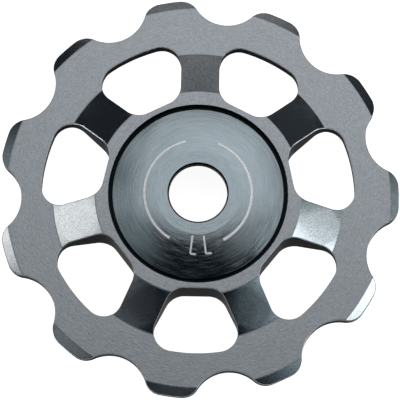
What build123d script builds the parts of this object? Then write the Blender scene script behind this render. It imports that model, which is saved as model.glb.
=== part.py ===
from build123d import *
import math
import os

# Derailleur jockey wheel: a toothed wheel on a sealed ball bearing between two dust caps.
# The axle runs along Z, and the origin is at the middle of the axle hole. Sizes are in millimetres.

# Chain and teeth
CHAIN_PITCH = 12.7
ROLLER_DIAMETER = 7.75
ROLLER_CLEARANCE = 0.075
TOOTH_COUNT = 11
TOOTH_HEIGHT = 2.56
TIP_CORNER_RADIUS = 1.85
TIP_CHAMFER_WIDTH = 0.99
TIP_CHAMFER_DEPTH = 0.5
WHEEL_ANGLE = -65.3

# Rim, spokes and hub
RIM_THICKNESS = 2.2
RIM_WALL = 2.08
RIM_LEDGE = 1.22
SPOKE_COUNT = 7
SPOKE_WIDTH = 4.04
WINDOW_CORNER = 2.05
HUB_RING_WIDTH = 1.38
HUB_WALL = 0.585
RECESS_DEPTH = 1.0
RECESS_CHAMFER = 0.05

# Ball bearing
BEARING_BORE = 9.0
BEARING_OUTSIDE = 17.0
BEARING_WIDTH = 5.0
BEARING_CHAMFER = 0.2
BALL_COUNT = 9
BALL_DIAMETER = 2.381
BALL_CLEARANCE = 0.015
GROOVE_RADIUS = 1.24
GROOVE_DEPTH = 0.33
SEAL_THICKNESS = 0.4
SEAL_RECESS = 0.1
SEAL_SEAT_STEP = 0.35
SEAL_LIP_CLEARANCE = 0.05
CAGE_WIDTH = 1.2
CAGE_RISE = 0.55
CAGE_SEAL_GAP = 0.15
POCKET_CLEARANCE = 0.06

# Dust caps
CAP_DIAMETER = 17.98
CAP_BORE = 6.1
CAP_THICKNESS = 1.5
CAP_LAND_WIDTH = 1.35
CAP_CROWN = 0.17
CAP_EDGE = 0.3
CAP_LIFT = 0.25
CAP_GAP = 0.39
CAP_SEAT_WIDTH = 0.95
CAP_EDGE_BREAK = 0.04
BORE_CHAMFER = 0.15
SPIGOT_LENGTH = 1.0
SPIGOT_CLEARANCE = 0.02
SPIGOT_WALL = 0.38
REAR_LAND_WIDTH = 0.5

# Radii and heights that follow from the sizes above
pitch_radius = CHAIN_PITCH / (2 * math.sin(math.pi / TOOTH_COUNT))
seat_radius = ROLLER_DIAMETER / 2 + ROLLER_CLEARANCE
root_radius = pitch_radius - seat_radius
tip_radius = root_radius + TOOTH_HEIGHT
window_radius = root_radius - RIM_WALL
rim_inner_radius = window_radius - RIM_LEDGE
cap_radius = CAP_DIAMETER / 2
recess_radius = cap_radius + CAP_GAP
hub_radius = recess_radius + HUB_RING_WIDTH
window_flat = recess_radius + HUB_WALL

half_rim = RIM_THICKNESS / 2
half_bearing = BEARING_WIDTH / 2
half_hub = half_bearing + RECESS_DEPTH
seat_height = half_bearing - SEAL_RECESS - SEAL_THICKNESS

race_radius = BEARING_BORE / 2
bearing_radius = BEARING_OUTSIDE / 2
ball_radius = BALL_DIAMETER / 2
spigot_radius = race_radius - SPIGOT_CLEARANCE
spigot_bore = spigot_radius - SPIGOT_WALL
ball_circle = (race_radius + bearing_radius) / 2
inner_groove = ball_circle - ball_radius - BALL_CLEARANCE
outer_groove = ball_circle + ball_radius + BALL_CLEARANCE
inner_land = inner_groove + GROOVE_DEPTH
outer_land = outer_groove - GROOVE_DEPTH
seal_seat_radius = outer_land + SEAL_SEAT_STEP


def spun(section):
    """Solid of revolution about the axle from a closed line in (radius, height)."""
    return revolve(Plane.XZ * make_face(section), Axis.Z)


def ring(points):
    """Solid of revolution about the axle from (radius, height) corners."""
    return spun(Polyline(*points, close=True))


def spin_blank():
    """Turned blank of the wheel: hub, sloped spoke web, rim and chamfered tips."""
    upper = [
        (bearing_radius, half_bearing),
        (recess_radius, half_bearing),
        (recess_radius, half_hub - RECESS_CHAMFER),
        (recess_radius + RECESS_CHAMFER, half_hub),
        (hub_radius, half_hub),
        (rim_inner_radius, half_rim),
        (tip_radius - TIP_CHAMFER_WIDTH, half_rim),
        (tip_radius, half_rim - TIP_CHAMFER_DEPTH),
    ]
    lower = [(radius, -height) for radius, height in reversed(upper)]
    return ring(upper + lower)


def tooth_outline():
    """Outline of the toothed rim: one roller seat per chain pitch and rounded tooth corners."""
    seats = PolarLocations(pitch_radius, TOOTH_COUNT) * Circle(seat_radius)
    teeth = Circle(tip_radius) - seats
    return Rot(0, 0, 180 / TOOTH_COUNT) * fillet(teeth.vertices(), TIP_CORNER_RADIUS)


def window_outline():
    """One opening between two spokes, on the -X side: arc at the rim, flat at the hub."""
    half_angle = math.pi / SPOKE_COUNT
    side_offset = SPOKE_WIDTH / 2 / math.cos(half_angle)
    slope = math.tan(half_angle)
    far = 2 * window_radius
    near_half = window_flat * slope - side_offset
    far_half = far * slope - side_offset
    wedge = Polygon(
        (-window_flat, near_half), (-far, far_half), (-far, -far_half), (-window_flat, -near_half), align=None
    )
    sharp = wedge & Circle(window_radius)
    return fillet(sharp.vertices(), WINDOW_CORNER)


def toothed_wheel():
    """The wheel: blank, teeth and spoke windows cut straight through it."""
    teeth = extrude(tooth_outline(), half_hub, both=True)
    window = extrude(window_outline(), half_hub, both=True)
    first_window = 180 + 180 / SPOKE_COUNT
    windows = [Rot(0, 0, first_window + step * 360 / SPOKE_COUNT) * window for step in range(SPOKE_COUNT)]
    return Rot(0, 0, WHEEL_ANGLE) * ((spin_blank() & teeth) - windows)


def ball_groove(bottom, side):
    """Ring of round section that cuts a ball groove; side is 1 outwards of its bottom, -1 inwards."""
    return revolve(Plane.XZ * Pos(bottom + side * GROOVE_RADIUS, 0) * Circle(GROOVE_RADIUS), Axis.Z)


def inner_race():
    """Inner bearing ring with its ball groove."""
    body = ring(
        [
            (race_radius, half_bearing - BEARING_CHAMFER),
            (race_radius + BEARING_CHAMFER, half_bearing),
            (inner_land, half_bearing),
            (inner_land, -half_bearing),
            (race_radius + BEARING_CHAMFER, -half_bearing),
            (race_radius, -half_bearing + BEARING_CHAMFER),
        ]
    )
    return body - ball_groove(inner_groove, 1)


def outer_race():
    """Outer bearing ring with its ball groove and a stepped seat for a seal at each end."""
    upper = [
        (outer_land, seat_height),
        (seal_seat_radius, seat_height),
        (seal_seat_radius, half_bearing),
        (bearing_radius - BEARING_CHAMFER, half_bearing),
        (bearing_radius, half_bearing - BEARING_CHAMFER),
    ]
    lower = [(radius, -height) for radius, height in reversed(upper)]
    return ring(upper + lower) - ball_groove(outer_groove, -1)


def seal(side):
    """Flat rubber seal seated in the outer race; side is 1 at the front, -1 at the rear."""
    lip = inner_land + SEAL_LIP_CLEARANCE
    near = side * seat_height
    far = side * (seat_height + SEAL_THICKNESS)
    return ring([(lip, near), (seal_seat_radius, near), (seal_seat_radius, far), (lip, far)])


def ball_places():
    """Places of the balls round the axle."""
    return PolarLocations(ball_circle, BALL_COUNT)


def ball_cage():
    """Crown cage: a ring with one round pocket, open to the front, for each ball."""
    inside = ball_circle - CAGE_WIDTH / 2
    outside = ball_circle + CAGE_WIDTH / 2
    back = -(seat_height - CAGE_SEAL_GAP)
    body = ring([(inside, back), (outside, back), (outside, CAGE_RISE), (inside, CAGE_RISE)])
    pocket = Rot(0, 90, 0) * Cylinder(ball_radius + POCKET_CLEARANCE, 2 * CAGE_WIDTH)
    return body - ball_places() * pocket


def dust_cap(bore, land_width):
    """Dust cap at the front: domed disc seated on the inner race, its spigot inside; bore is a radius."""
    seat_edge = race_radius + CAP_SEAT_WIDTH
    under = half_bearing + CAP_LIFT
    face = half_bearing + CAP_THICKNESS
    edge_top = under + CAP_EDGE
    corners = [
        (bore + land_width, face),
        (bore + BORE_CHAMFER, face),
        (bore, face - BORE_CHAMFER),
        (bore, half_bearing - SPIGOT_LENGTH),
        (spigot_radius, half_bearing - SPIGOT_LENGTH),
        (spigot_radius, half_bearing),
        (seat_edge, half_bearing),
        (seat_edge, under),
        (cap_radius, under),
        (cap_radius, edge_top - CAP_EDGE_BREAK),
        (cap_radius - CAP_EDGE_BREAK, edge_top),
    ]
    dome = SagittaArc(corners[-1], corners[0], -CAP_CROWN)
    return spun(Polyline(*corners) + dome)


def front_cap():
    """Front dust cap, its hole opened out behind the face so that only a thin spigot is left."""
    relief = Cylinder(spigot_bore, 2 * SPIGOT_LENGTH, align=(Align.CENTER, Align.CENTER, Align.MAX))
    return dust_cap(CAP_BORE / 2, CAP_LAND_WIDTH) - Pos(0, 0, half_bearing) * relief


nodes = {
    "toothed_wheel": toothed_wheel(),
    "outer_race": outer_race(),
    "inner_race": inner_race(),
    "front_seal": seal(1),
    "rear_seal": seal(-1),
    "ball_cage": ball_cage(),
    "front_cap": front_cap(),
    "rear_cap": mirror(dust_cap(spigot_bore, REAR_LAND_WIDTH), Plane.XY),
}
for number, place in enumerate(ball_places(), start=1):
    nodes[f"ball_{number}"] = place * Sphere(ball_radius)

os.makedirs("parts", exist_ok=True)
for name, shape in nodes.items():
    export_step(shape, f"parts/{name}.step")
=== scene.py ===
"""Derailleur jockey wheel: its finishes, rounded edges and etched marks, in a plain studio.

The wheel lies flat on a pale floor, with its axle along Z. Sizes are in metres, unless a name or a class
says otherwise.
"""

import logging
import math
from dataclasses import dataclass
from enum import Enum
from typing import Mapping, Sequence, Union

import bmesh
import bpy
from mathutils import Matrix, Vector
from mathutils.geometry import delaunay_2d_cdt


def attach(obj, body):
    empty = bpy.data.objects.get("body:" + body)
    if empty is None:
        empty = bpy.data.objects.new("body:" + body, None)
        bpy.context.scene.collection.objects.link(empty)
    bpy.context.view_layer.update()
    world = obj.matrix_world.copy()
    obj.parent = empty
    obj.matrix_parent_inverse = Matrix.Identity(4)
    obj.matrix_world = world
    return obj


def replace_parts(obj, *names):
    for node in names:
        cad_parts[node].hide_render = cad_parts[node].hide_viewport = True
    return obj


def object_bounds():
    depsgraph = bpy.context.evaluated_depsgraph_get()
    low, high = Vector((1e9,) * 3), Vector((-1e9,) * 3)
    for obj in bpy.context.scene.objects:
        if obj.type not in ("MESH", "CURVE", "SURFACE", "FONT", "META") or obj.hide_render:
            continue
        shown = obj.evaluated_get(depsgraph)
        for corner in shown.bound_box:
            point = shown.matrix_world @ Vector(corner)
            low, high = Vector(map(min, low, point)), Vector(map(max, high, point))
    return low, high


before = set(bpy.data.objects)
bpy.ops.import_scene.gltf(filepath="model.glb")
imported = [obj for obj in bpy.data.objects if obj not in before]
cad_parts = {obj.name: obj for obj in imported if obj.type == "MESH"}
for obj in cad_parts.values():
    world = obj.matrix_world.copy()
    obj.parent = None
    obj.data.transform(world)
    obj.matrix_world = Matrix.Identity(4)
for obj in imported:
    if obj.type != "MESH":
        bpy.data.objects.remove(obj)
cad_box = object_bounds()

MM = 0.001

# Masks of the finishes: how far their limit lies off an edge, and the length over which they fade
MASK_CLEARANCE = 0.01 * MM
MASK_FADE = 0.02 * MM

# Middle of the values that a noise gives
NOISE_MIDDLE = 0.5

# Plan of the wheel: the kind of triangles asked for, and the distance in millimetres that joins points
TRIANGLES_INSIDE = 1
PLAN_TOLERANCE = 1e-5

# Places across a rounded crease where its bend is drawn, as shares of the rounding
CREASE_SHARES = (-1.0, 0.0, 1.0)

# Mesh of the wheel: the distance that joins its halves, and the bend under which an edge is shaded smooth
WELD_DISTANCE = 0.0005 * MM
SMOOTH_LIMIT = math.radians(6.0)

# Etched strokes: half of the unit slab that they are made of, and the scale that lets the parabola of the
# crown reach 1 at its middle
SLAB_HALF = 0.5
PARABOLA_SCALE = 4.0

# Watts of an area lamp for each square metre and unit of radiance
AREA_LAMP_SCALE = 4.0

Colour = tuple[float, float, float]
Point = tuple[float, float]
Socket = bpy.types.NodeSocket
Sockets = Mapping[str, Socket]
Feed = Union[Socket, float, int, bool, str, Sequence[float], bpy.types.Material]

log = logging.getLogger("jockey_wheel")


class Body(Enum):
    """Bodies of the frame that new pieces ride on."""

    AXLE_CORE = "axle_core"
    WHEEL = "wheel"


class Slot(Enum):
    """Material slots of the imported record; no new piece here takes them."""

    ANODISED_ALLOY = "anodised_alloy"
    TURNED_ALLOY = "turned_alloy"


class LoopRole(Enum):
    """What a closed line of the wheel's plan stands for."""

    OUTLINE = "a through edge of the material"
    ROUND = "the middle of a rounded edge"
    FACE = "the end of a rounded edge, on the face"
    CREASE = "a line where the turned relief bends"
    RECESS = "the mouth of the hub's recess"


class NodeBoard:
    """A node tree with short calls that place, set and join its nodes."""

    def __init__(self, tree: bpy.types.NodeTree) -> None:
        """Keeps the tree that the calls fill."""
        self.tree = tree

    def feed(self, socket: Socket, value: Feed) -> None:
        """Joins another node's output to an input, or sets a plain value on it.

        Args:
            socket: Input to fill.
            value: Output socket to join, or the value to set.
        """
        if isinstance(value, bpy.types.NodeSocket):
            self.tree.links.new(value, socket)
        else:
            socket.default_value = value

    def node(self, kind: str, inputs: Mapping[Union[str, int], Feed], **settings: Feed) -> bpy.types.Node:
        """Places a node.

        Args:
            kind: Blender's name for the kind of node.
            inputs: Values or sockets by input name or number.
            **settings: Properties of the node, set before its inputs.

        Returns:
            The placed node.
        """
        placed = self.tree.nodes.new(kind)
        for name, setting in settings.items():
            setattr(placed, name, setting)
        for name, value in inputs.items():
            self.feed(placed.inputs[name], value)
        return placed

    def made(self, kind: str, inputs: Mapping[Union[str, int], Feed], **settings: Feed) -> Socket:
        """Places a node in the same way and gives its first output."""
        return self.node(kind, inputs, **settings).outputs[0]

    def math(self, operation: str, *values: Feed) -> Socket:
        """Result of a Math node on one to three values."""
        return self.made("ShaderNodeMath", dict(enumerate(values)), operation=operation)

    def vector(self, operation: str, *values: Feed) -> Socket:
        """Vector result of a Vector Math node on one or two vectors."""
        return self.made("ShaderNodeVectorMath", dict(enumerate(values)), operation=operation)

    def length(self, vector: Feed) -> Socket:
        """Length of a vector."""
        return self.node("ShaderNodeVectorMath", {0: vector}, operation="LENGTH").outputs["Value"]

    def scaled(self, vector: Feed, factor: Feed) -> Socket:
        """A vector or colour times a number."""
        return self.made("ShaderNodeVectorMath", {0: vector, "Scale": factor}, operation="SCALE")

    def axes(self, vector: Socket) -> tuple[Socket, Socket, Socket]:
        """The X, Y and Z parts of a vector."""
        parts = self.node("ShaderNodeSeparateXYZ", {0: vector}).outputs
        return parts[0], parts[1], parts[2]

    def joined(self, x: Feed, y: Feed, z: Feed) -> Socket:
        """A vector from its three parts."""
        return self.made("ShaderNodeCombineXYZ", {"X": x, "Y": y, "Z": z})

    def level(self, vector: Socket) -> Socket:
        """A vector with 0 for its Z part."""
        x, y, _ = self.axes(vector)
        return self.joined(x, y, 0.0)

    def ramp(self, value: Feed, start: Feed, end: Feed, low: Feed = 0.0, high: Feed = 1.0) -> Socket:
        """Straight ramp that stays at low before start and at high after end."""
        names = ("Value", "From Min", "From Max", "To Min", "To Max")
        return self.made("ShaderNodeMapRange", dict(zip(names, (value, start, end, low, high))))

    def noise(self, place: Socket, scale: Feed, detail: float, roughness: float = 0.5) -> Socket:
        """Noise from 0 to 1 over a place, with the number and the share of its finer layers."""
        inputs = {"Vector": place, "Scale": scale, "Detail": detail, "Roughness": roughness}
        return self.made("ShaderNodeTexNoise", inputs)

    def blend(self, mask: Feed, without: Feed, with_mask: Feed) -> Socket:
        """Number that goes from one value to another as a mask goes from 0 to 1."""
        return self.made("ShaderNodeMix", {0: mask, 2: without, 3: with_mask}, data_type="FLOAT")

    def tint(self, mask: Feed, without: Feed, with_mask: Feed) -> Socket:
        """Colour that goes from one value to another as a mask goes from 0 to 1."""
        return self.node("ShaderNodeMix", {0: mask, 6: without, 7: with_mask}, data_type="RGBA").outputs[2]


def opaque(colour: Colour) -> tuple[float, float, float, float]:
    """A colour with full alpha, as colour sockets take it."""
    return (*colour, 1.0)


class FinishGroups:
    """Shader node groups that several finishes share: each puts out a height and a tone."""

    # Inputs of the two groups
    GRAIN_INPUTS = ("Grains per Metre", "Grain Tone", "Cloud Tone")
    RING_INPUTS = ("Rings per Metre", "Streaks per Turn", "Ring Tone", "Band Tone")

    # Broad clouds for each fine grain, and broad rings for each fine ring
    CLOUD_SHARE = 0.08
    BAND_SHARE = 0.5

    def __init__(self) -> None:
        """Builds each group once."""
        self._grain = self._fine_grain()
        self._turning = self._turning_marks()

    def grained(self, board: NodeBoard, per_mm: float, tone: float, cloud_tone: float) -> Sockets:
        """Height and Tone of the fine grain, placed on a finish's board."""
        inputs = dict(zip(self.GRAIN_INPUTS, (per_mm / MM, tone, cloud_tone)))
        return board.node("ShaderNodeGroup", inputs, node_tree=self._grain).outputs

    def ringed(
        self, board: NodeBoard, per_mm: float, streaks: float, tone: float, band_tone: float
    ) -> Sockets:
        """Height and Tone of the turning marks, placed on a finish's board."""
        inputs = dict(zip(self.RING_INPUTS, (per_mm / MM, streaks, tone, band_tone)))
        return board.node("ShaderNodeGroup", inputs, node_tree=self._turning).outputs

    @staticmethod
    def _group(name: str, inputs: Sequence[str]) -> tuple[NodeBoard, Sockets]:
        """Makes a shader group that is still empty.

        Args:
            name: Name of the group.
            inputs: Names of its number inputs.

        Returns:
            The board of the group, and its inputs by name.
        """
        tree = bpy.data.node_groups.new(name, "ShaderNodeTree")
        for label in inputs:
            tree.interface.new_socket(label, in_out="INPUT", socket_type="NodeSocketFloat")
        for label in ("Height", "Tone"):
            tree.interface.new_socket(label, in_out="OUTPUT", socket_type="NodeSocketFloat")
        return NodeBoard(tree), tree.nodes.new("NodeGroupInput").outputs

    @staticmethod
    def _put_out(board: NodeBoard, height: Socket, *tones: tuple[Socket, Socket]) -> bpy.types.NodeTree:
        """Joins the outputs of a group.

        Args:
            board: Board of the group.
            height: Height of its marks.
            *tones: Noises that its tone swings with, each with its strength.

        Returns:
            The finished group, whose tone lies about 1 and multiplies a colour.
        """
        tone: Feed = 1.0
        for noise, strength in tones:
            swing = board.math("SUBTRACT", noise, NOISE_MIDDLE)
            tone = board.math("MULTIPLY_ADD", swing, strength, tone)
        board.node("NodeGroupOutput", {"Height": height, "Tone": tone})
        return board.tree

    def _fine_grain(self) -> bpy.types.NodeTree:
        """Fine even grain, as blasting or a mould leaves it, over soft broad clouding.

        Returns:
            The group of the grain.
        """
        board, given = self._group("fine_grain", self.GRAIN_INPUTS)
        place = board.node("ShaderNodeTexCoord", {}).outputs["Object"]
        fine = board.noise(place, given["Grains per Metre"], detail=3.0, roughness=0.6)
        cloud_scale = board.math("MULTIPLY", given["Grains per Metre"], self.CLOUD_SHARE)
        cloud = board.noise(place, cloud_scale, detail=3.0)
        return self._put_out(board, fine, (fine, given["Grain Tone"]), (cloud, given["Cloud Tone"]))

    def _turning_marks(self) -> bpy.types.NodeTree:
        """Fine rings round the axle that start and fade along their length, as a lathe tool leaves them.

        Returns:
            The group of the rings.
        """
        board, given = self._group("turning_marks", self.RING_INPUTS)
        place = board.node("ShaderNodeTexCoord", {}).outputs["Object"]
        flat = board.level(place)
        radius = board.math("ADD", board.length(flat), board.axes(place)[2])
        bearing = board.scaled(board.vector("NORMALIZE", flat), given["Streaks per Turn"])
        bearing_x, bearing_y, _ = board.axes(bearing)
        ring = board.math("MULTIPLY", radius, given["Rings per Metre"])
        band = board.math("MULTIPLY", ring, self.BAND_SHARE)
        streaks = board.noise(board.joined(bearing_x, bearing_y, ring), scale=1.0, detail=2.0)
        bands = board.noise(board.joined(bearing_x, bearing_y, band), scale=1.0, detail=0.0)
        return self._put_out(board, streaks, (streaks, given["Ring Tone"]), (bands, given["Band Tone"]))


@dataclass(frozen=True)
class Finish:
    """A surface finish: its colour, gloss and the marks that its making left."""

    name: str
    colour: Colour
    roughness: float
    metallic: float = 1.0
    edge_tint: float = 1.0

    def _start(self) -> tuple[bpy.types.Material, NodeBoard, bpy.types.Node]:
        """Makes the material with its shader.

        Returns:
            The material, the board of its tree and its Principled shader.
        """
        material = bpy.data.materials.new(self.name)
        material.use_nodes = True
        board = NodeBoard(material.node_tree)
        shader = board.tree.nodes["Principled BSDF"]
        shader.inputs["Metallic"].default_value = self.metallic
        shader.inputs["Roughness"].default_value = self.roughness
        shader.inputs["Specular Tint"].default_value = opaque((self.edge_tint,) * 3)
        return material, board, shader

    @staticmethod
    def _bump(board: NodeBoard, height: Socket, depth: float) -> Socket:
        """Normal of a surface with small heights of the given depth."""
        return board.made("ShaderNodeBump", {"Height": height, "Distance": depth, "Strength": 1.0})

    @staticmethod
    def _within(board: NodeBoard, length: Socket, limit: float) -> Socket:
        """Mask that is 1 where a length is under a limit, and fades to 0 just past it."""
        return board.ramp(length, limit + MASK_FADE, limit)


@dataclass(frozen=True)
class BlastedFinish(Finish):
    """Anodised alloy: blasted flats with faint facing marks, finer slopes, and recesses painted near-black as
    shade.
    """

    slope_colour: Colour = (0.36, 0.385, 0.405)
    slope_roughness: float = 0.165
    flat_limit: float = 0.93
    limit_fade: float = 0.02
    grains_per_mm: float = 9.0
    grain_depth: float = 0.0065 * MM
    grain_tone: float = 1.1
    cloud_tone: float = 0.12
    rings_per_mm: float = 5.0
    streaks_per_turn: float = 40.0
    ring_tone: float = 0.4
    band_tone: float = 0.0
    flat_ring_share: float = 2.4
    slope_ring_share: float = 0.12
    recess_radius: float = 0.0
    # Painted shade: near-black colour laid on the hub's recess in place of its shadow
    recess_shade_colour: Colour = (0.008, 0.0115, 0.0135)

    def material(self, groups: FinishGroups) -> bpy.types.Material:
        """Builds the material.

        Args:
            groups: Shared shader groups.

        Returns:
            The finished material.
        """
        material, board, shader = self._start()
        place = board.node("ShaderNodeTexCoord", {}).outputs
        grain = groups.grained(board, self.grains_per_mm, self.grain_tone, self.cloud_tone)
        marks = groups.ringed(board, self.rings_per_mm, self.streaks_per_turn, self.ring_tone, self.band_tone)
        tone = board.math("MULTIPLY", grain["Tone"], marks["Tone"])
        upright = board.math("ABSOLUTE", board.axes(place["Normal"])[2])
        slope = board.ramp(upright, self.flat_limit, self.flat_limit - self.limit_fade)
        ring_share = board.blend(slope, self.flat_ring_share, self.slope_ring_share)
        height = board.math("MULTIPLY_ADD", marks["Height"], ring_share, grain["Height"])
        colour = board.scaled(board.tint(slope, opaque(self.colour), opaque(self.slope_colour)), tone)
        radius = board.length(board.level(place["Object"]))
        # Painted shade: inside the recess's radius the colour turns near-black, standing in for the recess's
        # shadow
        recess_shade = self._within(board, radius, self.recess_radius + MASK_CLEARANCE)
        board.feed(shader.inputs["Base Color"], board.tint(recess_shade, colour, opaque(self.recess_shade_colour)))
        board.feed(shader.inputs["Roughness"], board.blend(slope, self.roughness, self.slope_roughness))
        board.feed(shader.inputs["Normal"], self._bump(board, height, self.grain_depth))
        return material


@dataclass(frozen=True)
class TurnedFinish(Finish):
    """Metal turned on a lathe: fine rings round the axle that spread its gloss outwards."""

    anisotropy: float = 0.35
    rings_per_mm: float = 10.0
    streaks_per_turn: float = 4.0
    ring_tone: float = 0.4
    band_tone: float = 0.2
    ring_depth: float = 0.009 * MM
    streak_range: Point = (0.35, 0.7)
    streak_roughness: float = 0.32
    bore_radius: float = 0.0
    bore_reach: float = 0.0
    hole_radius: float = 0.0
    # Painted shade: near-black colour and edge gloss laid inside the cap's bore in place of its shadow
    bore_shade_colour: Colour = (0.008, 0.008, 0.009)

    def material(self, groups: FinishGroups) -> bpy.types.Material:
        """Builds the material.

        Args:
            groups: Shared shader groups.

        Returns:
            The finished material.
        """
        material, board, shader = self._start()
        marks = groups.ringed(board, self.rings_per_mm, self.streaks_per_turn, self.ring_tone, self.band_tone)
        place = board.node("ShaderNodeTexCoord", {}).outputs["Object"]
        flat = board.level(place)
        outwards = board.made(
            "ShaderNodeVectorTransform", {0: flat}, convert_from="OBJECT", convert_to="WORLD"
        )
        shader.inputs["Anisotropic"].default_value = self.anisotropy
        board.feed(shader.inputs["Tangent"], outwards)
        radius = board.length(flat)
        height = board.math("ABSOLUTE", board.axes(place)[2])
        # Painted shade: the bore's wall and the hole's mouth are coloured near-black, with dark gloss,
        # standing in for shade inside the bore
        narrow = self._within(board, radius, self.bore_radius + MASK_CLEARANCE)
        inside = self._within(board, height, self.bore_reach - MASK_FADE)
        mouth = self._within(board, radius, self.hole_radius - MASK_CLEARANCE)
        bore_shade_mask = board.math("MAXIMUM", board.math("MULTIPLY", narrow, inside), mouth)
        bore = opaque(self.bore_shade_colour)
        edge = opaque((self.edge_tint,) * 3)
        colour = board.scaled(self.colour, marks["Tone"])
        gloss = board.ramp(marks["Height"], *self.streak_range, self.roughness, self.streak_roughness)
        board.feed(shader.inputs["Base Color"], board.tint(bore_shade_mask, colour, bore))
        board.feed(shader.inputs["Specular Tint"], board.tint(bore_shade_mask, edge, bore))
        board.feed(shader.inputs["Normal"], self._bump(board, marks["Height"], self.ring_depth))
        board.feed(shader.inputs["Roughness"], gloss)
        return material


@dataclass(frozen=True)
class GrainedFinish(Finish):
    """Plain finish with a fine even grain, for moulded, polished and etched surfaces."""

    grains_per_mm: float = 8.0
    grain_depth: float = 0.004 * MM
    grain_tone: float = 0.15
    cloud_tone: float = 0.1

    def material(self, groups: FinishGroups) -> bpy.types.Material:
        """Builds the material.

        Args:
            groups: Shared shader groups.

        Returns:
            The finished material.
        """
        material, board, shader = self._start()
        grain = groups.grained(board, self.grains_per_mm, self.grain_tone, self.cloud_tone)
        board.feed(shader.inputs["Base Color"], board.scaled(self.colour, grain["Tone"]))
        board.feed(shader.inputs["Normal"], self._bump(board, grain["Height"], self.grain_depth))
        return material


class GeometryTree:
    """A geometry node tree with named inputs, run to make plain meshes."""

    def __init__(self, name: str, inputs: Mapping[str, str]) -> None:
        """Makes the tree with a geometry socket at each end.

        Args:
            name: Name of the tree.
            inputs: Socket types by input name.
        """
        tree = bpy.data.node_groups.new(name, "GeometryNodeTree")
        tree.interface.new_socket("Geometry", in_out="INPUT", socket_type="NodeSocketGeometry")
        tree.interface.new_socket("Geometry", in_out="OUTPUT", socket_type="NodeSocketGeometry")
        self.identifiers = {
            label: tree.interface.new_socket(label, in_out="INPUT", socket_type=kind).identifier
            for label, kind in inputs.items()
        }
        self.board = NodeBoard(tree)
        self.given = tree.nodes.new("NodeGroupInput").outputs
        self.result = tree.nodes.new("NodeGroupOutput").inputs["Geometry"]

    def run(self, name: str, start: bpy.types.Mesh, values: Mapping[str, Feed]) -> bpy.types.Mesh:
        """Runs the tree on a mesh.

        Args:
            name: Name of the new mesh.
            start: Mesh that enters the tree.
            values: Values by input name.

        Returns:
            The plain mesh that comes out.
        """
        carrier = bpy.data.objects.new(name, start)
        bpy.context.scene.collection.objects.link(carrier)
        modifier = carrier.modifiers.new(name, "NODES")
        modifier.node_group = self.board.tree
        for label, value in values.items():
            modifier[self.identifiers[label]] = value
        evaluated = carrier.evaluated_get(bpy.context.evaluated_depsgraph_get())
        made = bpy.data.meshes.new_from_object(evaluated)
        carrier.modifiers.remove(modifier)
        bpy.data.objects.remove(carrier)
        made.name = name
        return made


def at(centre: Point, radius: float, angle: float) -> Point:
    """The point of a circle at an angle in radians."""
    return (centre[0] + radius * math.cos(angle), centre[1] + radius * math.sin(angle))


def arc(centre: Point, radius: float, start: float, end: float, steps: int) -> list[Point]:
    """Points along an arc, without its last one.

    Args:
        centre: Middle of the arc.
        radius: Radius of the arc.
        start: Angle of the first point, in radians.
        end: Angle of the end, in radians.
        steps: Number of points.

    Returns:
        The points, from start towards end.
    """
    return [at(centre, radius, start + (end - start) * step / steps) for step in range(steps)]


def mirrored(half: Sequence[Point]) -> list[Point]:
    """A closed outline from its half above the X axis, whose ends lie on the axis."""
    return list(half) + [(x, -y) for x, y in reversed(half[1:-1])]


def turned(points: Sequence[Point], angle: float) -> list[Point]:
    """Points turned about the origin by an angle in radians."""
    cosine, sine = math.cos(angle), math.sin(angle)
    return [(x * cosine - y * sine, x * sine + y * cosine) for x, y in points]


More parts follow.
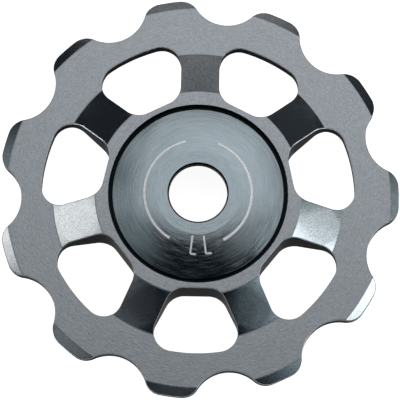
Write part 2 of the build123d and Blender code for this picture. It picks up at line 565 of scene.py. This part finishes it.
@dataclass
class ToothedWheel:
    """The milled wheel: teeth, spokes and hub, with every edge rounded.

    Lengths are in millimetres, as on the part's drawing.
    """

    chain_pitch: float = 12.7
    roller_diameter: float = 7.75
    roller_clearance: float = 0.075
    tooth_count: int = 11
    tooth_height: float = 2.56
    tip_corner: float = 1.85
    tip_chamfer_width: float = 0.99
    tip_chamfer_depth: float = 0.5
    wheel_angle: float = -65.3
    rim_thickness: float = 2.2
    rim_wall: float = 2.08
    rim_ledge: float = 1.22
    spoke_count: int = 7
    spoke_width: float = 4.04
    window_corner: float = 2.05
    hub_ring_width: float = 1.38
    hub_wall: float = 0.585
    hub_height: float = 3.5
    recess_radius: float = 9.38
    recess_chamfer: float = 0.05
    seat_radius: float = 8.5
    seat_height: float = 2.5
    edge_round: float = 0.07
    crease_round: float = 0.07
    seat_steps: int = 24
    corner_steps: int = 20
    tip_steps: int = 8
    far_corner_steps: int = 26
    rim_steps: int = 30
    circle_steps: int = 360

    def __post_init__(self) -> None:
        """Works out the radii that follow from the sizes."""
        self.pitch_radius = self.chain_pitch / (2 * math.sin(math.pi / self.tooth_count))
        self.roller_seat = self.roller_diameter / 2 + self.roller_clearance
        self.root_radius = self.pitch_radius - self.roller_seat
        self.tip_radius = self.root_radius + self.tooth_height
        self.chamfer_radius = self.tip_radius - self.tip_chamfer_width
        self.window_radius = self.root_radius - self.rim_wall
        self.rim_inner_radius = self.window_radius - self.rim_ledge
        self.hub_radius = self.recess_radius + self.hub_ring_width
        self.window_flat = self.recess_radius + self.hub_wall
        self.round_middle = self.edge_round * (1 - math.sqrt(0.5))

    def tooth_outline(self, inset: float) -> list[Point]:
        """Closed outline of the teeth.

        Args:
            inset: How far the outline lies inside the real one.

        Returns:
            Its points: roller seats, rounded corners and turned tips.
        """
        seat = self.roller_seat + inset
        tip = self.tip_radius - inset
        corner = self.tip_corner - inset
        pitch_angle = 2 * math.pi / self.tooth_count
        corner_circle = tip - corner
        reach = seat + corner
        corner_angle = math.acos(
            (corner_circle**2 + self.pitch_radius**2 - reach**2) / (2 * corner_circle * self.pitch_radius)
        )
        centre = at((0, 0), corner_circle, corner_angle)
        lean = math.atan2(centre[1], centre[0] - self.pitch_radius)
        half = (
            arc((self.pitch_radius, 0), seat, math.pi, lean, self.seat_steps)
            + arc(centre, corner, lean - math.pi, corner_angle, self.corner_steps)
            + arc((0, 0), tip, corner_angle, pitch_angle / 2, self.tip_steps)
        )
        valley = [(x, -y) for x, y in reversed(half[1:])] + half
        first = math.radians(self.wheel_angle) + pitch_angle / 2
        tip_point = [at((0, 0), tip, pitch_angle / 2)]
        outline: list[Point] = []
        for tooth in range(self.tooth_count):
            outline += turned(valley + tip_point, first + tooth * pitch_angle)
        return outline

    def window_outline(self, inset: float) -> list[Point]:
        """Closed outline of one window between two spokes, on the +X side.

        Args:
            inset: How far the outline lies inside the material round the real window.

        Returns:
            Its points: flat at the hub, straight along the spokes, arc at the rim, and rounded corners.
        """
        flat = self.window_flat - inset
        outer = self.window_radius + inset
        corner = self.window_corner + inset
        lean = math.pi / self.spoke_count
        normal = lean + math.pi / 2
        offset = (self.spoke_width / 2 - inset + corner) / math.cos(lean)
        slope = math.tan(lean)
        near = (flat + corner, (flat + corner) * slope - offset)
        square, cross = 1 + slope**2, slope * offset
        far_x = (cross + math.sqrt(cross**2 - square * (offset**2 - (outer - corner) ** 2))) / square
        far = (far_x, far_x * slope - offset)
        far_angle = math.atan2(far[1], far[0])
        half = (
            [(flat, 0.0)]
            + arc(near, corner, math.pi, normal, self.corner_steps)
            + [at(near, corner, normal)]
            + arc(far, corner, normal, far_angle, self.far_corner_steps)
            + arc((0, 0), outer, far_angle, 0, self.rim_steps)
            + [(outer, 0.0)]
        )
        return mirrored(half)

    def plan_loops(self) -> list[tuple[LoopRole, list[Point]]]:
        """Draws every closed line of the plan.

        Returns:
            The role and the points of each line.
        """
        loops: list[tuple[LoopRole, list[Point]]] = []
        insets = {LoopRole.OUTLINE: 0.0, LoopRole.ROUND: self.round_middle, LoopRole.FACE: self.edge_round}
        for role, inset in insets.items():
            loops.append((role, self.tooth_outline(inset)))
            for spoke in range(self.spoke_count):
                angle = math.radians(self.wheel_angle) + (2 * spoke + 1) * math.pi / self.spoke_count
                loops.append((role, turned(self.window_outline(inset), angle)))
        for crease in (self.hub_radius, self.rim_inner_radius, self.chamfer_radius):
            for share in CREASE_SHARES:
                loops.append((LoopRole.CREASE, self._circle(crease + share * self.crease_round)))
        loops.append((LoopRole.RECESS, self._circle(self.recess_radius + self.recess_chamfer)))
        return loops

    def _circle(self, radius: float) -> list[Point]:
        """Points of a whole circle about the axle."""
        return arc((0, 0), radius, 0, 2 * math.pi, self.circle_steps)

    def plan_mesh(self) -> bpy.types.Mesh:
        """Flat mesh of the wheel's plan, with an edge along each line of the plan.

        Returns:
            A mesh with the attributes edge_drop, how far a point lies under the relief, and recess_edge.
        """
        coords: list[Vector] = []
        edges: list[tuple[int, int]] = []
        roles: list[LoopRole] = []
        for role, points in self.plan_loops():
            first = len(coords)
            count = len(points)
            coords += [Vector(point) for point in points]
            edges += [(first + step, first + (step + 1) % count) for step in range(count)]
            roles += [role] * count
        points, lines, faces, _, sources, _ = delaunay_2d_cdt(
            coords, edges, [], TRIANGLES_INSIDE, PLAN_TOLERANCE
        )
        line_roles = {
            tuple(sorted(line)): {roles[source] for source in found} for line, found in zip(lines, sources)
        }
        kept = self._material_faces(points, faces, line_roles)
        mesh = bpy.data.meshes.new("wheel_plan")
        used = sorted({corner for face in kept for corner in face})
        place = {old: new for new, old in enumerate(used)}
        mesh.from_pydata(
            [(points[old][0] * MM, points[old][1] * MM, 0.0) for old in used],
            [],
            [[place[corner] for corner in face] for face in kept],
        )
        drop = mesh.attributes.new("edge_drop", "FLOAT", "POINT")
        recess = mesh.attributes.new("recess_edge", "BOOLEAN", "EDGE")
        drops = {LoopRole.OUTLINE: self.edge_round, LoopRole.ROUND: self.round_middle}
        for edge in mesh.edges:
            found = line_roles.get(tuple(sorted(used[corner] for corner in edge.vertices)), set())
            recess.data[edge.index].value = LoopRole.RECESS in found
            for role in found & drops.keys():
                for corner in edge.vertices:
                    drop.data[corner].value = drops[role] * MM
        return mesh

    def _material_faces(
        self,
        points: Sequence[Vector],
        faces: Sequence[Sequence[int]],
        line_roles: Mapping[tuple[int, int], set[LoopRole]],
    ) -> list[Sequence[int]]:
        """Picks the faces of the plan that are material, by spreading from a point of the rim.

        Args:
            points: Points of the plan.
            faces: All its triangles.
            line_roles: Roles of its edges, by sorted pair of points.

        Returns:
            The triangles that no outline parts from the rim.
        """
        neighbours: dict[tuple[int, int], list[int]] = {}
        for number, face in enumerate(faces):
            for step, corner in enumerate(face):
                pair = tuple(sorted((corner, face[step - 1])))
                neighbours.setdefault(pair, []).append(number)
        middle = (self.window_radius + self.root_radius) / 2
        seed_place = Vector(at((0, 0), middle, math.radians(self.wheel_angle)))

        def distance(number: int) -> float:
            """Distance of a triangle's middle from the seed's place."""
            return (sum((points[corner] for corner in faces[number]), Vector((0, 0))) / 3 - seed_place).length

        reached = {min(range(len(faces)), key=distance)}
        front = list(reached)
        barriers = {LoopRole.OUTLINE, LoopRole.RECESS}
        while front:
            face = faces[front.pop()]
            for step, corner in enumerate(face):
                pair = tuple(sorted((corner, face[step - 1])))
                if not line_roles.get(pair, set()) & barriers:
                    fresh = [number for number in neighbours[pair] if number not in reached]
                    reached.update(fresh)
                    front += fresh
        return [faces[number] for number in sorted(reached)]

    def relief_lengths(self) -> dict[str, float]:
        """Gathers the sizes that shape the relief.

        Returns:
            Lengths in metres, by the names that the relief's tree gives them.
        """
        lengths = {
            "Hub Radius": self.hub_radius, "Rim Inner Radius": self.rim_inner_radius,
            "Chamfer Radius": self.chamfer_radius, "Tip Radius": self.tip_radius,
            "Hub Height": self.hub_height, "Rim Height": self.rim_thickness / 2,
            "Chamfer Depth": self.tip_chamfer_depth, "Crease Round": self.crease_round,
            "Recess Radius": self.recess_radius, "Recess Chamfer": self.recess_chamfer,
            "Seat Radius": self.seat_radius, "Seat Height": self.seat_height,
        }
        return {name: length * MM for name, length in lengths.items()}

    def relief_tree(self) -> GeometryTree:
        """Geometry nodes that raise the plan to its turned relief, close its walls and mirror it to the back.

        Returns:
            The tree, with the wheel's sizes as named inputs.
        """
        inputs = dict.fromkeys(self.relief_lengths(), "NodeSocketFloat")
        inputs |= {"Face Finish": "NodeSocketMaterial", "Shaded Wall Material": "NodeSocketMaterial"}
        tree = GeometryTree("milled_relief", inputs)
        board, given = tree.board, tree.given
        x, y, _ = board.axes(board.made("GeometryNodeInputPosition", {}))
        flat = board.joined(x, y, 0.0)
        radius = board.length(flat)

        def soft_ramp(start: Socket, end: Socket) -> Socket:
            """Ramp from 0 to 1 over the radius, with its bends rounded.

            Args:
                start: Radius where the ramp leaves 0.
                end: Radius where it reaches 1.

            Returns:
                The mean of ramps that are shifted across the creases.
            """
            total: Feed = 0.0
            for share in CREASE_SHARES:
                shift = board.math("MULTIPLY", given["Crease Round"], share)
                ramp = board.ramp(radius, board.math("ADD", start, shift), board.math("ADD", end, shift))
                total = board.math("ADD", total, ramp)
            return board.math("DIVIDE", total, len(CREASE_SHARES))

        fall = board.math("SUBTRACT", given["Hub Height"], given["Rim Height"])
        web = board.math("MULTIPLY", soft_ramp(given["Hub Radius"], given["Rim Inner Radius"]), fall)
        chamfer = soft_ramp(given["Chamfer Radius"], given["Tip Radius"])
        tip = board.math("MULTIPLY", chamfer, given["Chamfer Depth"])
        drop = board.made("GeometryNodeInputNamedAttribute", {"Name": "edge_drop"}, data_type="FLOAT")
        height = board.math("SUBTRACT", given["Hub Height"], web)
        height = board.math("SUBTRACT", board.math("SUBTRACT", height, tip), drop)
        place = board.joined(x, y, height)
        shape = board.made("GeometryNodeSetPosition", {"Geometry": given["Geometry"], "Position": place})
        shape = board.made("GeometryNodeSetMaterial", {"Geometry": shape, "Material": given["Face Finish"]})

        def swept(mesh: Socket, edges: Socket, target: Socket) -> tuple[Socket, Socket, Socket]:
            """Draws new walls from edges of a mesh.

            Args:
                mesh: Mesh to draw from.
                edges: Which of its edges are drawn.
                target: Where the drawn edges go.

            Returns:
                The mesh, its new edges and its new faces.
            """
            drawing = {"Mesh": mesh, "Selection": edges, "Offset Scale": 0.0}
            drawn = board.node("GeometryNodeExtrudeMesh", drawing, mode="EDGES").outputs
            moving = {"Geometry": drawn["Mesh"], "Selection": drawn["Top"], "Position": target}
            return board.made("GeometryNodeSetPosition", moving), drawn["Top"], drawn["Side"]

        count = board.made("GeometryNodeInputMeshEdgeNeighbors", {})
        border = board.made("FunctionNodeCompare", {2: count, 3: 1}, data_type="INT", operation="EQUAL")
        recess = board.made("GeometryNodeInputNamedAttribute", {"Name": "recess_edge"}, data_type="BOOLEAN")
        through = board.made("FunctionNodeBooleanMath", {0: border, 1: recess}, operation="NIMPLY")
        shape, _, walls = swept(shape, through, flat)
        # The walls take the darker wall material, whose darkness is painted shade
        dressing = {"Geometry": shape, "Selection": walls, "Material": given["Shaded Wall Material"]}
        shape = board.made("GeometryNodeSetMaterial", dressing)

        bearing = board.vector("NORMALIZE", flat)
        lip = board.math("SUBTRACT", given["Hub Height"], given["Recess Chamfer"])
        steps = (
            (given["Recess Radius"], lip),
            (given["Recess Radius"], given["Seat Height"]),
            (given["Seat Radius"], given["Seat Height"]),
            (given["Seat Radius"], 0.0),
        )
        edges = board.made("FunctionNodeBooleanMath", {0: border, 1: recess}, operation="AND")
        for step_radius, step_height in steps:
            outward = board.scaled(bearing, step_radius)
            target = board.vector("ADD", outward, board.joined(0.0, 0.0, step_height))
            shape, edges, _ = swept(shape, edges, target)

        back = board.made("GeometryNodeTransform", {"Geometry": shape, "Scale": (1.0, 1.0, -1.0)})
        back = board.made("GeometryNodeFlipFaces", {"Mesh": back})
        both = board.node("GeometryNodeJoinGeometry", {"Geometry": shape})
        board.feed(both.inputs[0], back)
        welding = {"Geometry": both.outputs[0], "Distance": WELD_DISTANCE}
        shape = board.made("GeometryNodeMergeByDistance", welding)
        angle = board.made("GeometryNodeInputMeshEdgeAngle", {})
        gentle = board.math("LESS_THAN", angle, SMOOTH_LIMIT)
        for smooth, domain in ((True, "FACE"), (gentle, "EDGE")):
            shading = {"Geometry": shape, "Shade Smooth": smooth}
            shape = board.made("GeometryNodeSetShadeSmooth", shading, domain=domain)
        board.feed(tree.result, board.made("GeometryNodeRealizeInstances", {"Geometry": shape}))
        return tree

    def build(self, face_finish: bpy.types.Material, shaded_wall_material: bpy.types.Material) -> bpy.types.Object:
        """Builds the wheel in the place of its plain node.

        Args:
            face_finish: Material of the faces and slopes.
            shaded_wall_material: Material of the teeth's flanks and the windows' walls, darkened as painted
                shade.

        Returns:
            The finished piece.
        """
        values: dict[str, Feed] = {"Face Finish": face_finish, "Shaded Wall Material": shaded_wall_material}
        values |= self.relief_lengths()
        piece = shown_piece("milled_wheel", self.relief_tree().run("milled_wheel", self.plan_mesh(), values))
        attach(piece, Body.WHEEL.value)
        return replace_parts(piece, "toothed_wheel")


def shown_piece(name: str, mesh: bpy.types.Mesh) -> bpy.types.Object:
    """Puts a mesh into the scene as a piece of that name, with its faces turned outwards.

    Args:
        name: Name of the piece.
        mesh: Closed mesh in the object's frame.

    Returns:
        The new object, at the origin.
    """
    work = bmesh.new()
    work.from_mesh(mesh)
    bmesh.ops.recalc_face_normals(work, faces=work.faces)
    work.to_mesh(mesh)
    work.free()
    piece = bpy.data.objects.new(name, mesh)
    bpy.context.scene.collection.objects.link(piece)
    log.info("%s: %d faces", name, len(mesh.polygons))
    return piece


@dataclass(frozen=True)
class Stroke:
    """One etched stroke on the cap, from one place to another, in millimetres and degrees."""

    start_radius: float
    end_radius: float
    start_angle: float
    end_angle: float
    start_width: float
    end_width: float
    least_points: int = 2
    points_per_degree: float = 1.0
    points_per_mm: float = 8.0

    def steps(self) -> int:
        """Number of points along the stroke, enough to follow the curved face."""
        run = self.points_per_mm * abs(self.end_radius - self.start_radius)
        return self.least_points + int(self.points_per_degree * abs(self.end_angle - self.start_angle) + run)

    def sizes(self) -> dict[str, float]:
        """Gathers the stroke's sizes.

        Returns:
            Lengths in metres and angles in radians, by the names that the strokes' tree gives them.
        """
        return {
            "Start Radius": self.start_radius * MM, "End Radius": self.end_radius * MM,
            "Start Angle": math.radians(self.start_angle), "End Angle": math.radians(self.end_angle),
            "Start Width": self.start_width * MM, "End Width": self.end_width * MM,
        }


@dataclass
class DustCap:
    """The front cap's etched marks and the turned finish of both caps, in millimetres and degrees."""

    land_radius: float = 4.4
    rim_radius: float = 8.95
    land_height: float = 4.0
    rim_height: float = 3.05
    crown: float = 0.17
    bore_radius: float = 4.1
    bore_reach: float = 3.9
    hole_radius: float = 3.2
    mark_proud: float = 0.012
    mark_depth: float = 0.03
    arc_radius: float = 5.61
    arc_angles: tuple[Point, Point] = ((103.0, 238.0), (68.0, -62.0))
    arc_widths: Point = (0.18, 0.27)
    digit_foot: float = 4.57
    digit_top: float = 6.45
    digit_widths: Point = (0.19, 0.19)
    digit_angles: Point = (-97.3, -82.7)
    flag_rise: float = 0.03
    flag_turn: float = 5.3

    def strokes(self) -> list[Stroke]:
        """Lays out the two arcs round the hole and the figure of the tooth count under it.

        Returns:
            The arcs, then the stem and the flag of each digit.
        """
        marks: list[Stroke] = []
        for start, end in self.arc_angles:
            marks.append(Stroke(self.arc_radius, self.arc_radius, start, end, *self.arc_widths))
        flag_end = self.digit_top + self.flag_rise
        for angle in self.digit_angles:
            marks.append(Stroke(self.digit_foot, self.digit_top, angle, angle, *self.digit_widths))
            marks.append(Stroke(self.digit_top, flag_end, angle, angle + self.flag_turn, *self.digit_widths))
        return marks

    def face_sizes(self) -> dict[str, float]:
        """Gathers the sizes of the domed face and of the marks' relief on it.

        Returns:
            Lengths in metres, by the names that the strokes' tree gives them.
        """
        lengths = {
            "Land Radius": self.land_radius, "Rim Radius": self.rim_radius, "Land Height": self.land_height,
            "Rim Height": self.rim_height, "Crown": self.crown, "Proud": self.mark_proud,
            "Depth": self.mark_depth,
        }
        return {name: length * MM for name, length in lengths.items()}

    @staticmethod
    def stroke_tree(sizes: Sequence[str]) -> GeometryTree:
        """Geometry nodes that lay a thin slab along a stroke on the sloped face of the cap.

        Args:
            sizes: Names of the stroke's and the face's sizes.

        Returns:
            The tree, with these sizes as inputs.
        """
        inputs = dict.fromkeys(sizes, "NodeSocketFloat")
        inputs |= {"Steps": "NodeSocketInt", "Finish": "NodeSocketMaterial"}
        tree = GeometryTree("etched_stroke", inputs)
        board, given = tree.board, tree.given
        counts = {"Vertices X": given["Steps"], "Vertices Y": 4, "Vertices Z": 2}
        slab = board.node("GeometryNodeMeshCube", counts).outputs["Mesh"]
        along, across, up = board.axes(board.made("GeometryNodeInputPosition", {}))
        share = board.math("ADD", along, SLAB_HALF)
        radius = board.blend(share, given["Start Radius"], given["End Radius"])
        angle = board.blend(share, given["Start Angle"], given["End Angle"])
        width = board.math("MULTIPLY", across, board.blend(share, given["Start Width"], given["End Width"]))
        outward_run = board.math("SUBTRACT", given["End Radius"], given["Start Radius"])
        turn = board.math("SUBTRACT", given["End Angle"], given["Start Angle"])
        around_run = board.math("MULTIPLY", turn, radius)
        run = board.vector("NORMALIZE", board.joined(outward_run, around_run, 0.0))
        run_out, run_around, _ = board.axes(run)
        place_radius = board.math("SUBTRACT", radius, board.math("MULTIPLY", width, run_around))
        sideways = board.math("DIVIDE", board.math("MULTIPLY", width, run_out), place_radius)
        place_angle = board.math("ADD", angle, sideways)
        fall = board.ramp(place_radius, given["Land Radius"], given["Rim Radius"])
        parabola = board.math("MULTIPLY", fall, board.math("SUBTRACT", 1.0, fall))
        bulge = board.math("MULTIPLY", parabola, PARABOLA_SCALE)
        cone = board.blend(fall, given["Land Height"], given["Rim Height"])
        dome = board.math("ADD", cone, board.math("MULTIPLY", bulge, given["Crown"]))
        sunk = board.math("MULTIPLY", given["Depth"], -1.0)
        lift = board.ramp(up, -SLAB_HALF, SLAB_HALF, sunk, given["Proud"])
        place = board.joined(
            board.math("MULTIPLY", place_radius, board.math("COSINE", place_angle)),
            board.math("MULTIPLY", place_radius, board.math("SINE", place_angle)),
            board.math("ADD", dome, lift),
        )
        laid = board.made("GeometryNodeSetPosition", {"Geometry": slab, "Position": place})
        dressed = board.made("GeometryNodeSetMaterial", {"Geometry": laid, "Material": given["Finish"]})
        board.feed(tree.result, board.made("GeometryNodeRealizeInstances", {"Geometry": dressed}))
        return tree

    def build(self, finish: bpy.types.Material) -> bpy.types.Object:
        """Builds the etched marks as one piece on the front cap.

        Args:
            finish: Material of the etched strokes.

        Returns:
            The finished piece.
        """
        face = self.face_sizes()
        strokes = self.strokes()
        tree = self.stroke_tree([*strokes[0].sizes(), *face])
        joined = bmesh.new()
        for number, stroke in enumerate(strokes):
            values: dict[str, Feed] = {**stroke.sizes(), **face, "Steps": stroke.steps(), "Finish": finish}
            joined.from_mesh(tree.run(f"stroke_{number}", bpy.data.meshes.new("stroke_start"), values))
        mesh = bpy.data.meshes.new("etched_marks")
        joined.to_mesh(mesh)
        joined.free()
        mesh.materials.append(finish)
        piece = shown_piece("etched_marks", mesh)
        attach(piece, Body.AXLE_CORE.value)
        return piece

    @staticmethod
    def dress(finish: bpy.types.Material) -> None:
        """Gives both caps their turned finish."""
        for name in ("front_cap", "rear_cap"):
            dress_node(name, finish)


def dress_node(name: str, finish: bpy.types.Material) -> None:
    """Gives a node of the frame its finish.

    Args:
        name: Name of the node.
        finish: Material for its only slot.
    """
    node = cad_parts[name]
    node.material_slots[0].material = finish
    log.info("%s: %s", name, finish.name)


@dataclass
class BallBearing:
    """The sealed ball bearing: the finishes of its races, seals, cage and balls."""

    race: TurnedFinish = TurnedFinish(
        "ground_steel", (0.6, 0.6, 0.61), roughness=0.22, anisotropy=0.4, ring_tone=0.12
    )
    seal: GrainedFinish = GrainedFinish("moulded_rubber", (0.022, 0.022, 0.023), roughness=0.55, metallic=0.0)
    cage: GrainedFinish = GrainedFinish(
        "moulded_nylon", (0.72, 0.65, 0.49), roughness=0.42, metallic=0.0, grains_per_mm=4.0
    )
    ball: GrainedFinish = GrainedFinish(
        "polished_steel", (0.72, 0.72, 0.73), roughness=0.07, grain_depth=0.0002 * MM
    )

    def dress(self, groups: FinishGroups) -> None:
        """Gives each piece of the bearing its finish.

        Args:
            groups: Shared shader groups.
        """
        balls = tuple(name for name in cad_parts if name.startswith("ball_") and name != "ball_cage")
        pieces = (
            (self.race, ("inner_race", "outer_race")),
            (self.seal, ("front_seal", "rear_seal")),
            (self.cage, ("ball_cage",)),
            (self.ball, balls),
        )
        for finish, names in pieces:
            material = finish.material(groups)
            for name in names:
                dress_node(name, material)


@dataclass(frozen=True)
class Panel:
    """A flat soft lamp that hangs level over the wheel, with ranges in shares of its height."""

    name: str
    x_range: Point
    y_range: Point
    radiance: float
    colour: Colour = (1.0, 1.0, 1.0)
    feather: float = 0.12
    height: float = 0.3
    layers: int = 3
    layer_gap: float = 0.01

    def place(self) -> None:
        """Adds the lamp to the scene, as nested layers so that its brightness fades towards its edges."""
        middle = Vector((sum(self.x_range) / 2, sum(self.y_range) / 2, 1.0)) * self.height
        for layer in range(self.layers):
            grow = 2 * self.feather * (2 * layer / (self.layers - 1) - 1)
            lamp = bpy.data.lights.new(f"{self.name}_{layer}", "AREA")
            lamp.shape = "RECTANGLE"
            lamp.size = (self.x_range[1] - self.x_range[0] + grow) * self.height
            lamp.size_y = (self.y_range[1] - self.y_range[0] + grow) * self.height
            lamp.energy = AREA_LAMP_SCALE * lamp.size * lamp.size_y * self.radiance / self.layers
            lamp.color = self.colour
            holder = bpy.data.objects.new(lamp.name, lamp)
            holder.location = middle * (1 + self.layer_gap * layer)
            holder.visible_camera = False
            bpy.context.scene.collection.objects.link(holder)


@dataclass
class Studio:
    """Pale floor, soft lamps overhead and dim surroundings."""

    floor_half: float = 3.0
    floor_colour: Colour = (0.8, 0.8, 0.8)
    glow_colour: Colour = (1.0, 1.0, 1.0)
    floor_glow: float = 0.93
    surroundings: Colour = (0.003, 0.006, 0.011)
    panels: tuple[Panel, ...] = (
        Panel("main", (-0.46, 0.94), (-0.01, 1.32), 0.8, feather=0.07, height=0.16),
        Panel("main_key", (-0.1, 0.5), (0.12, 0.75), 0.25, height=0.15),
        Panel("main_left", (-0.98, -0.42), (-0.12, 0.42), 0.46, (0.93, 0.99, 1.0)),
        Panel("main_far", (-0.86, -0.42), (0.42, 0.95), 0.68),
        Panel("low_right", (0.25, 0.95), (-0.28, -0.03), 0.5, feather=0.08),
        Panel("low_left", (-0.95, -0.35), (-0.34, -0.12), 0.37, (0.88, 0.98, 1.0), feather=0.08),
        Panel("back", (-0.6, 1.0), (1.7, 2.6), 0.35),
        Panel("back_left", (-0.84, -0.6), (1.52, 1.85), 1.35, feather=0.06),
        Panel("far_left", (-1.75, -0.8), (1.05, 1.8), 0.018, (0.75, 0.92, 1.0)),
        Panel("far_right", (1.0, 1.8), (0.95, 1.75), 0.043, (0.78, 0.92, 1.0)),
        Panel("left", (-1.8, -1.15), (-0.28, 0.3), 1.88, (1.0, 0.985, 0.95)),
        Panel("left_low", (-3.3, -2.35), (-0.1, 0.65), 4.5),
        Panel("left_back", (-1.75, -1.12), (0.42, 0.74), 0.44, (0.8, 0.95, 1.0)),
        Panel("left_front", (-1.2, -0.55), (-0.92, -0.55), 0.37, (0.92, 0.98, 1.0), feather=0.07),
        Panel("right", (0.86, 2.2), (-0.72, -0.14), 2.66, (0.93, 0.99, 1.0), feather=0.16),
        Panel("right_key", (0.86, 1.2), (-0.7, -0.38), 0.8, feather=0.1, height=0.28),
        Panel("right_low", (2.35, 3.3), (-0.85, 0.5), 3.8),
        Panel("right_back", (1.1, 2.05), (0.06, 0.46), 0.46, (0.8, 0.96, 1.0), feather=0.12),
        Panel("front_right", (0.56, 1.03), (-1.02, -0.62), 0.72, (0.74, 0.93, 1.0), feather=0.06),
        Panel("front", (-0.3, 0.06), (-1.1, -0.86), 0.21, (0.86, 0.96, 1.0), feather=0.06),
    )

    def build(self) -> None:
        """Adds the floor, the lamps and the surroundings."""
        mesh = bpy.data.meshes.new("studio_floor")
        side = self.floor_half
        corners = ((-side, -side), (side, -side), (side, side), (-side, side))
        mesh.from_pydata([(x, y, cad_box[0].z) for x, y in corners], [], [(0, 1, 2, 3)])
        mesh.materials.append(self._floor_material())
        floor = bpy.data.objects.new("studio_floor", mesh)
        bpy.context.scene.collection.objects.link(floor)
        for panel in self.panels:
            panel.place()
        world = bpy.data.worlds.new("surroundings")
        world.use_nodes = True
        world.node_tree.nodes["Background"].inputs["Color"].default_value = opaque(self.surroundings)
        bpy.context.scene.world = world
        bpy.context.scene.view_settings.view_transform = "Standard"

    def _floor_material(self) -> bpy.types.Material:
        """White where it is looked at or mirrored, with the object's shadow on it.

        Returns:
            The floor's material.
        """
        material = bpy.data.materials.new("studio_floor")
        material.use_nodes = True
        board = NodeBoard(material.node_tree)
        board.tree.nodes.remove(board.tree.nodes["Principled BSDF"])
        path = board.node("ShaderNodeLightPath", {}).outputs
        mirrored_ray = board.math("MAXIMUM", path["Is Glossy Ray"], path["Is Transmission Ray"])
        seen = board.math("MAXIMUM", path["Is Camera Ray"], mirrored_ray)
        strength = board.math("MULTIPLY", seen, self.floor_glow)
        matt = board.made("ShaderNodeBsdfDiffuse", {"Color": opaque(self.floor_colour)})
        glow = board.made("ShaderNodeEmission", {"Color": opaque(self.glow_colour), "Strength": strength})
        lit = board.made("ShaderNodeAddShader", {0: matt, 1: glow})
        board.feed(board.tree.nodes["Material Output"].inputs["Surface"], lit)
        return material


@dataclass
class PhotoCamera:
    """Long lens that looks down on the wheel, leaning a little to its near side."""

    lean: float = 8.91
    distance: float = 0.4106
    aim: Point = (0.000201, -0.000158)
    sensor: float = 36.0
    lens: float = 350.7
    clip: Point = (0.01, 20.0)

    def place(self) -> None:
        """Adds the camera and makes it the scene's own."""
        lean = math.radians(self.lean)
        toward = Vector((0.0, -math.sin(lean), math.cos(lean)))
        up = Vector((0.0, math.cos(lean), math.sin(lean)))
        data = bpy.data.cameras.new("photo_camera")
        data.sensor_width = self.sensor
        data.lens = self.lens
        data.clip_start, data.clip_end = self.clip
        camera = bpy.data.objects.new("photo_camera", data)
        camera.location = Vector((self.aim[0], 0.0, 0.0)) + up * self.aim[1] + toward * self.distance
        camera.rotation_euler = (lean, 0.0, 0.0)
        bpy.context.scene.collection.objects.link(camera)
        bpy.context.scene.camera = camera


def main() -> None:
    """Builds and dresses the wheel, its bearing and its caps, then the studio and the camera."""
    logging.basicConfig(level=logging.INFO, format="%(name)s %(message)s")
    groups = FinishGroups()
    wheel = ToothedWheel()
    recess = wheel.recess_radius * MM
    faces = BlastedFinish("anodised_alloy", (0.328, 0.355, 0.379), roughness=0.42, recess_radius=recess)
    # Painted shade: the walls take a much darker copy of the anodised colour, with dark edge gloss, so that
    # they read as shaded
    wall_shade_colour = (0.086, 0.081, 0.084)
    walls = BlastedFinish(
        "walls_painted_shade", wall_shade_colour, roughness=0.35, edge_tint=0.05, slope_colour=wall_shade_colour,
        slope_roughness=0.35, ring_tone=0.0, flat_ring_share=0.0, slope_ring_share=0.0, recess_radius=recess,
    )
    wheel.build(faces.material(groups), walls.material(groups))
    cap = DustCap()
    # The caps' bore is painted near-black as shade
    turned_alloy = TurnedFinish(
        "turned_alloy", (0.272, 0.324, 0.352), roughness=0.14, bore_radius=cap.bore_radius * MM,
        bore_reach=cap.bore_reach * MM, hole_radius=cap.hole_radius * MM,
    )
    etched_alloy = GrainedFinish("etched_alloy", (0.88, 0.88, 0.89), roughness=0.62, grain_tone=0.6)
    cap.dress(turned_alloy.material(groups))
    cap.build(etched_alloy.material(groups))
    BallBearing().dress(groups)
    Studio().build()
    PhotoCamera().place()


if __name__ == "__main__":
    main()
